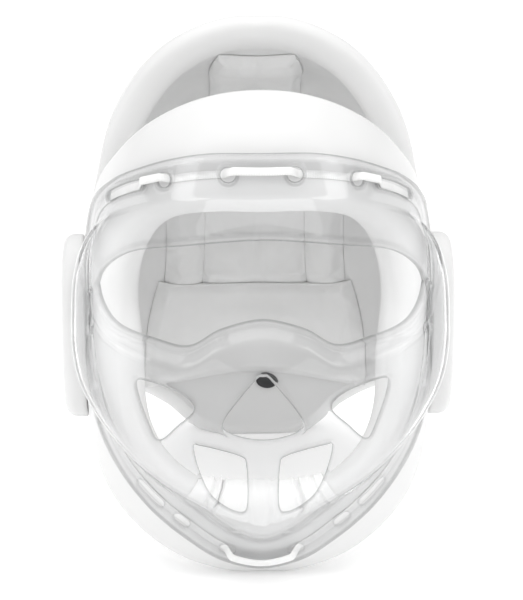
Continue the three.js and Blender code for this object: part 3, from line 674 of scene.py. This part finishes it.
# Lace along the flange
def lace_path():
    """Chart places of the lace, and distances walked to them along the flange without its wider brow."""
    edge = closed_curve(EDGE_ROUND, np.linspace(0, 1, 721))
    plain = moved_out(edge, -LACE_INSET)
    points = form_point(direction(plain[:, 0], plain[:, 1]))
    walked = np.concatenate([[0.0], np.cumsum(np.linalg.norm(np.diff(points, axis=0), axis=1))])
    return moved_out(edge, brow_more(edge, LACE_MIDDLE, LACE_CORNER) - LACE_INSET), walked


LACE_CHART, LACE_WALKED = lace_path()
LACE_LENGTH = LACE_WALKED[-1]
ALL_SLOTS = [(a, b, wide) for a, b, wide, _ in LACE_SLOTS]
ALL_SLOTS += [(LACE_LENGTH - b, LACE_LENGTH - a, wide) for a, b, wide in ALL_SLOTS[::-1]]


def over_stretches():
    """Stretches of the path, as middle and half length, where the lace lies on the flange."""
    found = [(0.0, LACE_SLOTS[0][0])]
    for k, (_, to, _, over) in enumerate(LACE_SLOTS):
        if over:
            next_from = ALL_SLOTS[k + 1][0]
            middle, half = (to + next_from) / 2, (next_from - to) / 2
            found += [(middle, half), (LACE_LENGTH - middle, half)]
    return found


def lace_frame(distance):
    """Ray, way across and rise for 1 mm over the foam, at distances along the lace."""
    def way_at(d):
        wanted = d % LACE_LENGTH
        return direction(*(np.interp(wanted, LACE_WALKED, LACE_CHART[:, k]) for k in (0, 1)))

    way = way_at(distance)
    out = form_normal(way)
    step = 0.7
    ahead = form_point(way_at(distance + step)) - form_point(way_at(distance - step))
    across = unit(np.cross(out, ahead))
    rise = way / (way * out).sum(-1, keepdims=True)
    return way, across, rise


def lace_share_over(distance):
    """1 where the lace lies on the flange, 0 where it runs under it."""
    away = []
    for middle, half in over_stretches():
        turned = distance - middle
        turned -= LACE_LENGTH * np.round(turned / LACE_LENGTH)
        away.append(np.abs(turned) - half)
    return 1 - smoothstep((np.min(away, axis=0) + LACE_DIP_EARLY) / LACE_DIP)


def slot_outline(start, end, wide):
    """Chart outline of a lace slot: a long hole with round ends along the lace."""
    half = wide / 2
    arc = np.radians(np.linspace(-90, 90, 13))
    first = start - LACE_CLEAR + half
    last = max(end + LACE_CLEAR - half, first + 0.5)
    run = np.linspace(0, 1, max(2, int((last - first) / 2)) + 1)[1:-1]
    walk = np.concatenate([last + half * np.cos(arc), lerp(last, first, run), first - half * np.cos(arc),
                           lerp(first, last, run)])
    offset = np.concatenate([half * np.sin(arc), np.full(len(run), half), -half * np.sin(arc),
                             np.full(len(run), -half)])
    way, across, _ = lace_frame(walk)
    spoke = form_point(way) + across * offset[:, None] - HEAD_CENTRE
    el = np.degrees(np.arcsin(spoke[:, 2] / np.linalg.norm(spoke, axis=1)))
    return np.stack([np.degrees(np.arctan2(spoke[:, 0], -spoke[:, 1])), el], -1)


def spaced(points, pitch):
    """A closed row of points spaced evenly, pitch millimetres apart on the chart."""
    loop = np.vstack([points, points[:1]])
    walked = np.concatenate([[0.0], np.cumsum(np.linalg.norm(np.diff(loop, axis=0), axis=1))])
    count = max(12, int(walked[-1] * MM_PER_DEGREE / pitch))
    at = np.linspace(0, walked[-1], count, endpoint=False)
    return np.stack([np.interp(at, walked, loop[:, k]) for k in (0, 1)], -1)


def smooth_outline(rows, pitch):
    return spaced(closed_curve(rows, np.linspace(0, 1, 800, endpoint=False)), pitch)


def inside_loop(points, loop):
    """Whether chart points lie inside a closed loop."""
    x, y = points[:, 0], points[:, 1]
    crossed = np.zeros(len(points), bool)
    for (x1, y1), (x2, y2) in zip(loop, np.roll(loop, -1, axis=0)):
        spans = (y1 > y) != (y2 > y)
        if spans.any():
            cut_x = x1 + (y - y1) * (x2 - x1) / (y2 - y1 if y2 != y1 else 1e-12)
            crossed ^= spans & (x < cut_x)
    return crossed


def on_sheet(points, edge, holes):
    """Whether chart points lie on the shield and in none of its openings."""
    keep = inside_loop(points, edge)
    for hole in holes:
        keep &= ~inside_loop(points, hole)
    return keep


def loop_distance(points, loop):
    """Distance of chart points from a closed loop, in millimetres."""
    start, span = loop, np.roll(loop, -1, axis=0) - loop
    nearest = np.full(len(points), np.inf)
    for a, b in zip(start, span):
        t = np.clip(((points - a) @ b) / (b @ b), 0, 1)
        gap = points - a - t[:, None] * b
        nearest = np.minimum(nearest, np.einsum("ij,ij->i", gap, gap))
    return np.sqrt(nearest) * MM_PER_DEGREE


def offset_loop(loop, distance, outward):
    """The loop moved sideways into the sheet by a distance in millimetres."""
    ahead = np.roll(loop, -1, axis=0) - np.roll(loop, 1, axis=0)
    normal = unit(np.stack([ahead[:, 1], -ahead[:, 0]], -1))
    area = np.sum(loop[:, 0] * np.roll(loop[:, 1], -1) - np.roll(loop[:, 0], -1) * loop[:, 1])
    grow = 1.0 if (area > 0) == outward else -1.0
    return loop + grow * normal * distance / MM_PER_DEGREE


def rim_painted_shade(rim, distance, brow):
    """Painted shade on the plastic at distances from one of its borders: a dark line at the border and a
    painted shadow band beside it, fainter off the brow.
    """
    line = rim["line"] * lerp(rim["low"], 1.0, brow) * np.exp(-((distance / SHADE_LINE_WIDE) ** 2))
    starts = smoothstep((distance - rim["from"]) / SHADE_BAND_SOFT + 0.5)
    ends = smoothstep((rim["to"] - distance) / SHADE_BAND_SOFT + 0.5)
    return np.maximum(line, rim["band"] * lerp(SHADE_BAND_LOW, 1.0, brow) * starts * ends)


def build_shield():
    edge = smooth_outline(EDGE_ROUND, EDGE_PITCH)
    edge = moved_out(edge, brow_more(edge, BROW_MIDDLE, BROW_CORNER))
    vents = [smooth_outline(both_halves(CENTRE_VENT), VENT_PITCH)]
    for rows in (SIDE_VENT, LOWER_VENT):
        vent = smooth_outline(rows, VENT_PITCH)
        vents += [vent, vent * np.array([-1.0, 1.0])]
    eye_slot = smooth_outline(SLOT_ROUND, SLOT_PITCH)
    lace_holes = [slot_outline(*slot) for slot in ALL_SLOTS]
    holes = [eye_slot] + vents + lace_holes
    loops = [(edge, False, RIMS["edge"]), (eye_slot, True, RIMS["slot"])]
    loops += [(vent, True, RIMS["vent"]) for vent in vents]
    loops += [(hole, True, RIMS["hole"]) for hole in lace_holes]

    # Rounded rim: rings of points at a few distances from each border
    places, links = [], []
    for loop, outward, _ in loops:
        for d in RIM_AWAY:
            start = sum(len(p) for p in places)
            ring = offset_loop(loop, d, outward)
            places.append(ring)
            links += [(start + i, start + (i + 1) % len(ring)) for i in range(len(ring))]
    pitch = SHEET_PITCH / MM_PER_DEGREE
    az, el = np.meshgrid(np.arange(-SHEET_AZ, SHEET_AZ, pitch),
                         np.arange(SHEET_LOW_EL, SHEET_HIGH_EL, pitch * SHEET_ROW))
    az[1::2] += pitch / 2
    grid = np.stack([az.ravel(), el.ravel()], -1)
    grid = grid[on_sheet(grid, edge, holes)]
    nearest = np.min([loop_distance(grid, loop) for loop, _, _ in loops], axis=0)
    grid = grid[nearest > RIM_AWAY[-1] + SHEET_CLEAR]
    wanted = np.vstack(places + [grid])
    chart, _, faces, *_ = delaunay_2d_cdt([Vector(p) for p in wanted.tolist()], links, [], 0, 1e-9)
    chart = np.array([tuple(p) for p in chart])
    faces = np.array([list(f) for f in faces])
    faces = faces[on_sheet(chart[faces].mean(1), edge, holes)]

    # Half thickness, raised beads and painted shade, by the distance to the borders
    radius = SHIELD_WALL / 2
    away = np.stack([loop_distance(chart, loop) for loop, _, _ in loops])
    nearest = away.min(0)
    half = radius * np.sqrt(1 - np.maximum(0, 1 - nearest / radius) ** 2)
    half[nearest < 1e-4] = 0.0
    rims = [rim for _, _, rim in loops]
    bead = np.max([rim["bead"] * np.interp(d, RIM_AWAY, RIM_BEAD) for rim, d in zip(rims, away)], axis=0)
    brow = on_brow(chart[:, 1])
    # painted shade: dark edge lines and shadow bands by the distance to each border
    painted_shade = np.max([rim_painted_shade(rim, d, brow) for rim, d in zip(rims, away)], axis=0)

    # Front and back share the points on the borders, where the half thickness is zero
    middle_lift = SHIELD_SEAT + radius
    front = shield_point(chart[:, 0], chart[:, 1], middle_lift + half + bead)
    back = shield_point(chart[:, 0], chart[:, 1], middle_lift - half)
    points = np.vstack([front, back])
    all_faces = faces.tolist() + (faces[:, ::-1] + len(chart)).tolist()
    piece = make_piece("face_shield_clear", points, all_faces, CLEAR, "face_shield",
                       painted_shade=np.tile(painted_shade, 2))
    piece.visible_shadow = False


def build_lace():
    stations, spots = 1100, 14
    walk = np.linspace(0, LACE_LENGTH, stations, endpoint=False)
    over = lace_share_over(walk)
    way, across, rise = lace_frame(walk)
    thick = lerp(LACE_FLAT, LACE_THICK, over)
    above = SHIELD_SEAT + SHIELD_WALL + RIMS["hole"]["bead"] + LACE_OVER_GAP + LACE_THICK / 2
    under = LACE_UNDER_GAP + LACE_FLAT / 2
    height = lerp(under, above, over)
    slope = np.gradient(height, walk[1] - walk[0])
    middle = form_point(way) + rise * height[:, None]
    turn = np.linspace(0, 2 * np.pi, spots, endpoint=False)
    flat = np.sign(np.cos(turn)) * np.abs(np.cos(turn)) ** LACE_SQUARE * LACE_WIDE / 2
    tall = np.sign(np.sin(turn)) * np.abs(np.sin(turn)) ** LACE_ROUND / 2
    lift = (thick * np.hypot(1, slope))[:, None] * tall
    rings = middle[:, None] + across[:, None] * flat[None, :, None] + rise[:, None] * lift[..., None]
    faces = grid_faces(*rings.shape[:2], loop_rows=True, loop_columns=True)
    piece = make_piece("lace_weave", rings, faces, LACE_CLOTH, "lace")
    layer = piece.data.uv_layers.new(name="weave")
    for loop in piece.data.loops:
        row, column = divmod(loop.vertex_index, spots)
        layer.data[loop.index].uv = (0.5 + flat[column] / LACE_WIDE, row / stations)


# Soft pads
def ripple(u, v, seed):
    """Soft even-looking unevenness between about -1 and 1."""
    waves, spread, peak = 6, 2.2, 2.2
    rng = np.random.default_rng(seed)
    total = np.zeros(np.broadcast(u, v).shape)
    for k in range(1, waves + 1):
        a, b = rng.normal(0, spread * k, 2)
        total = total + np.sin(a * u + b * v + rng.uniform(0, 2 * np.pi)) / k
    return total / peak


def swell(piece, held):
    """Puffs a sewn pad with a short cloth run; held points stay, and none moves further than a cap."""
    count = len(piece.data.vertices)
    start = np.empty(count * 3)
    piece.data.vertices.foreach_get("co", start)
    group = piece.vertex_groups.new(name="held")
    group.add([int(i) for i in held], 1.0, "REPLACE")
    cloth = piece.modifiers.new("swell", "CLOTH")
    cloth.settings.vertex_group_mass = "held"
    cloth.settings.use_pressure = True
    cloth.settings.uniform_pressure_force = PUFF_PRESSURE
    cloth.settings.effector_weights.gravity = 0.0
    cloth.settings.shrink_min = -PUFF_GROW
    cloth.settings.quality = PUFF_QUALITY
    cloth.point_cache.frame_end = PUFF_FRAMES
    for number in range(1, PUFF_FRAMES + 1):
        scene.frame_set(number)
    moved = np.empty(count * 3)
    done = piece.evaluated_get(bpy.context.evaluated_depsgraph_get())
    done.data.vertices.foreach_get("co", moved)
    piece.modifiers.remove(cloth)
    piece.vertex_groups.remove(group)
    scene.frame_set(1)
    step = (moved - start).reshape(-1, 3)
    size = np.linalg.norm(step, axis=1, keepdims=True)
    step *= np.minimum(1.0, PUFF_CAP * MM / np.maximum(size, 1e-12))
    piece.data.vertices.foreach_set("co", (start.reshape(-1, 3) + step).ravel())
    piece.data.update()


def rounded(t):
    """Soft swelling from 0 to 1."""
    return np.sin(np.pi / 2 * np.clip(t, 0, 1))


def denser_ends(count):
    """Shares from 0 to 1, closer together near both ends."""
    even = np.linspace(0, 1, count)
    return lerp(even, 0.5 - 0.5 * np.cos(np.pi * even), 0.7)


def hold_border(piece, border):
    """Keeps the smoothing from rounding off the edges between border points."""
    marked = np.zeros(len(piece.data.vertices), bool)
    marked[border] = True
    ends = np.empty(len(piece.data.edges) * 2, int)
    piece.data.edges.foreach_get("vertices", ends)
    held = marked[ends.reshape(-1, 2)].all(1)
    crease = piece.data.attributes.new("crease_edge", "FLOAT", "EDGE")
    crease.data.foreach_set("value", held.astype(float))


def build_pad(name, az_at, low_at, high_at, seams, thick, lobes, size, seed):
    """Sewn pad inside the rear shell: a flat back, and a front crowned in lobes between its seams.

    seams gives the share of the thickness left at the sides and at the lower and upper ends."""
    columns, rows = size
    u = denser_ends(columns)[:, None]
    v = denser_ends(rows)[None, :]
    el = lerp(low_at(u), high_at(u), v)
    way = direction(az_at(u, el, v), el)
    first, last, low, high = seams(el)
    back = skin(way, np.full(el.shape, FOAM + PAD_SEAT))
    wide = np.linalg.norm(back[-1] - back[0], axis=-1).max() / PAD_ROUND
    tall = np.linalg.norm(back[:, -1] - back[:, 0], axis=-1).max() / PAD_ROUND
    lobe = np.abs(np.sin(np.pi * lobes * u)) ** 0.5
    across = lerp(first, 1.0, rounded(u * wide)) * lerp(last, 1.0, rounded((1 - u) * wide))
    along = lerp(low, 1.0, rounded(v * tall)) * lerp(high, 1.0, rounded((1 - v) * tall))
    uneven = 1 + PAD_UNEVEN * ripple(u, v, seed)
    crown = thick * across * along * lerp(PAD_CHANNEL, 1.0, lobe) * uneven
    front = skin(way, FOAM + PAD_SEAT + np.maximum(crown, PAD_LEAST))
    points = np.concatenate([front.reshape(-1, 3), back.reshape(-1, 3)])
    faces = closed_sheet_faces(columns, rows)
    piece = make_piece(name + "_cloth", points, faces, LINING, name)
    still = np.zeros((columns, rows), bool)
    still[[0, -1], :] = True
    still[:, [0, -1]] = True
    hold_border(piece, np.flatnonzero(still.ravel()))
    still |= lobe < CHANNEL_HELD
    count = columns * rows
    swell(piece, np.concatenate([np.flatnonzero(still.ravel()), np.arange(count, 2 * count)]))
    subdivide = piece.modifiers.new("smooth", "SUBSURF")
    subdivide.levels = subdivide.render_levels = 1


def nape_top(way):
    return NAPE_TOP - NAPE_SAG * (1 - way * way)


def bed_azimuth(x, el):
    """Azimuth at which the pads' bed reaches a given X at elevations of the back."""
    level = (reach(direction(np.full_like(el, 180.0), el)) - FOAM - PAD_SEAT) * np.cos(np.radians(el))
    return 180 - np.degrees(np.arcsin(np.clip(x / level, -1, 1)))


def build_rear_pad(side, columns, lobes, seed):
    start, end, high = REAR_PADS[side]

    def x_at(u):
        return lerp(start, end, u)

    def low_at(u):
        way = (bed_azimuth(x_at(u), np.full_like(u, NAPE_TOP)) - 180) / NAPE_HALF_TOP
        return nape_top(way) + REAR_PAD_ABOVE

    def az_at(u, el, _):
        return bed_azimuth(x_at(u) * (1 - REAR_PAD_TAPER * np.maximum(0, el / 90) ** 3), el)

    def seams(el):
        past = el - REAR_PADS["left"][2] + SEAM_FADE_BELOW
        meeting = PAD_SEAM * (1 - SEAM_FADE * smoothstep(past / SEAM_FADE_SPAN))
        first = PAD_FREE if side == "right" else meeting
        last = PAD_FREE if side == "left" else meeting
        return first, last, PAD_SEAM, PAD_FREE

    build_pad("rear_pad_" + side, az_at, low_at, lambda u: np.full_like(u, high), seams,
              REAR_PAD_THICK, lobes, size=(columns, 46), seed=seed)


def build_nape_pad():
    def az_at(u, _, v):
        return 180 + (2 * u - 1) * lerp(NAPE_HALF_LOW, NAPE_HALF_TOP, v)

    build_pad("nape_pad", az_at, lambda u: np.full_like(u, NAPE_LOW), lambda u: nape_top(2 * u - 1),
              lambda el: (PAD_FREE, PAD_FREE, PAD_FREE, PAD_SEAM), NAPE_THICK, lobes=1, size=(46, 26),
              seed=5)


def build_chin_cover():
    """Loose cover over the chin bowl's top edge, with a wavy edge and gathered creases."""
    stations = 240
    share = np.linspace(-1, 1, stations)[:, None]
    ends, _ = station_lines(0.5 + share[:, 0] * COVER_REACH)
    length = line_lengths(lambda t: along_lines(ends, t))[:, None]
    front = (length - 2 * SOFT_EDGE) / COVER_FRONT_PART * (1 - COVER_NARROW * np.abs(share))
    down = np.linspace(1, 0, 22)[:-1]
    bend = np.radians(np.linspace(0, 90, 12))

    # Section over the edge: down the front, round the edge and down the inside, and the way out there
    run = np.concatenate([SOFT_EDGE + front * down, SOFT_EDGE * (1 - np.sin(bend)) + 0 * share], 1)
    depth = np.concatenate([0 * down, SOFT_EDGE * (1 - np.cos(bend))])
    out_run = np.concatenate([0 * down, -np.sin(bend)])
    out_depth = np.concatenate([0 * down - 1, -np.cos(bend)])
    run = np.concatenate([run, run[:, ::-1]], 1)
    depth = np.concatenate([depth, FOAM - depth[::-1]])
    out_run = np.concatenate([out_run, out_run[::-1]])
    out_depth = np.concatenate([out_depth, -out_depth[::-1]])
    fall = np.concatenate([down, 0 * bend])
    fall = np.concatenate([fall, fall[::-1]])

    loose = sum(tall * ripple(share * along, fall * across, seed)
                for tall, along, across, seed in COVER_RIPPLES)
    for place, lean, wide, deep in COVER_CREASES:
        away = (share - place - lean * fall) / wide
        ridges = np.exp(-((np.abs(away) - RIDGE_AWAY) / RIDGE_WIDE) ** 2)
        loose = loose - deep * np.exp(-away ** 2) + RIDGE_TALL * deep * ridges
    wrap = []
    for grow in (COVER_SEAT + COVER_WALL / 2 + loose, np.full(loose.shape, COVER_SEAT / 2)):
        grow = np.maximum(grow, COVER_SEAT / 2)
        way = along_lines(ends, (run + grow * out_run) / length)
        wrap.append(skin(way, depth + grow * out_depth))
    rings = np.concatenate([wrap[0], wrap[1][:, ::-1]], 1)
    count = rings.shape[1]
    faces = grid_faces(*rings.shape[:2], loop_columns=True)
    faces += zip_cap(0, count) + zip_cap((stations - 1) * count, count)
    piece = make_piece("chin_cover_cloth", rings, faces, LINING, "chin_cover")


def build_label():
    """Bare dark oval label under the nape pad."""
    columns, rows = 24, 16
    u, v = np.meshgrid(np.linspace(-1, 1, columns), np.linspace(-1, 1, rows), indexing="ij")
    across, up = u * np.sqrt(1 - v * v / 2), v * np.sqrt(1 - u * u / 2)
    way = direction(LABEL_AZ + across * LABEL_HALF_AZ, LABEL_EL + up * LABEL_HALF_EL)
    front = skin(way, np.full(u.shape, FOAM + LABEL_SEAT + LABEL_THICK))
    back = skin(way, np.full(u.shape, FOAM + LABEL_SEAT))
    points = np.concatenate([front.reshape(-1, 3), back.reshape(-1, 3)])
    count = columns * rows
    faces = closed_sheet_faces(columns, rows)
    piece = make_piece("nape_label_cloth", points, faces, LABEL_CLOTH, "nape_label")
    layer = piece.data.uv_layers.new(name="weave")
    for loop in piece.data.loops:
        column, row = divmod(loop.vertex_index % count, rows)
        layer.data[loop.index].uv = (column / columns, row / rows)


# Camera, light and floor
def build_camera():
    azimuth, elevation = math.radians(CAMERA_AZ), math.radians(CAMERA_EL)
    back = Vector((math.sin(azimuth) * math.cos(elevation), -math.cos(azimuth) * math.cos(elevation),
                   math.sin(elevation)))
    camera = bpy.data.objects.new("camera", bpy.data.cameras.new("camera"))
    camera.data.lens = CAMERA_LENS
    camera.data.sensor_width = CAMERA_SENSOR
    camera.location = Vector(CAMERA_TARGET) + back * CAMERA_FAR
    camera.rotation_mode = "QUATERNION"
    camera.rotation_quaternion = (-back).to_track_quat("-Z", "Y")
    scene.collection.objects.link(camera)
    scene.camera = camera


def add_softbox(name, place, size, power):
    light = bpy.data.lights.new(name, "AREA")
    light.shape = "RECTANGLE"
    light.size, light.size_y = size
    light.energy = power
    lamp = bpy.data.objects.new(name, light)
    lamp.location = place
    lamp.rotation_mode = "QUATERNION"
    lamp.rotation_quaternion = (Vector(LIGHT_AIM) - Vector(place)).to_track_quat("-Z", "Y")
    scene.collection.objects.link(lamp)


def build_floor():
    bpy.ops.mesh.primitive_plane_add(size=FLOOR_SIZE, location=(0.0, 0.0, -FLOOR_DROP))
    floor = bpy.context.object
    floor.name = "floor"
    material, tree, shader = new_material("floor_paper", Specular_IOR_Level=0.2,
                                         Emission_Color=(1.0, 1.0, 1.0, 1.0), Emission_Strength=FLOOR_GLOW)
    add_tint(tree, shader, add_noise(tree, 3.0), (0.93, 0.93, 0.93), (0.95, 0.95, 0.95))
    add_roughness(tree, shader, 40.0, 0.7, 0.85)
    floor.data.materials.append(material)


def build_sky():
    """Even light from above, darker towards the horizon."""
    world = bpy.data.worlds.new("studio")
    world.use_nodes = True
    sky = world.node_tree
    coordinates = sky.nodes.new("ShaderNodeTexCoord")
    split = sky.nodes.new("ShaderNodeSeparateXYZ")
    ramp = sky.nodes.new("ShaderNodeValToRGB")
    ramp.color_ramp.elements[0].color = (SKY_HORIZON, SKY_HORIZON, SKY_HORIZON, 1.0)
    ramp.color_ramp.elements[1].position = SKY_FULL_AT
    ramp.color_ramp.elements[1].color = (1.0, 1.0, 1.0, 1.0)
    sky.links.new(coordinates.outputs["Generated"], split.inputs["Vector"])
    sky.links.new(split.outputs["Z"], ramp.inputs["Fac"])
    sky.links.new(ramp.outputs["Color"], sky.nodes["Background"].inputs["Color"])
    sky.nodes["Background"].inputs["Strength"].default_value = SKY_STRENGTH
    scene.world = world


build_camera()
build_floor()
build_sky()
for name, (place, size, power) in SOFTBOXES.items():
    add_softbox(name, place, size, power)
scene.view_settings.view_transform = "Standard"

build_face_frame()
build_rear_shell()
build_ear_pad("ear_pad_left", 1.0)
build_ear_pad("ear_pad_right", -1.0)
build_shield()
build_lace()
build_chin_cover()
build_nape_pad()
build_rear_pad("left", columns=14, lobes=1, seed=1)
build_rear_pad("centre", columns=36, lobes=2, seed=2)
build_rear_pad("right", columns=14, lobes=1, seed=3)
build_label()
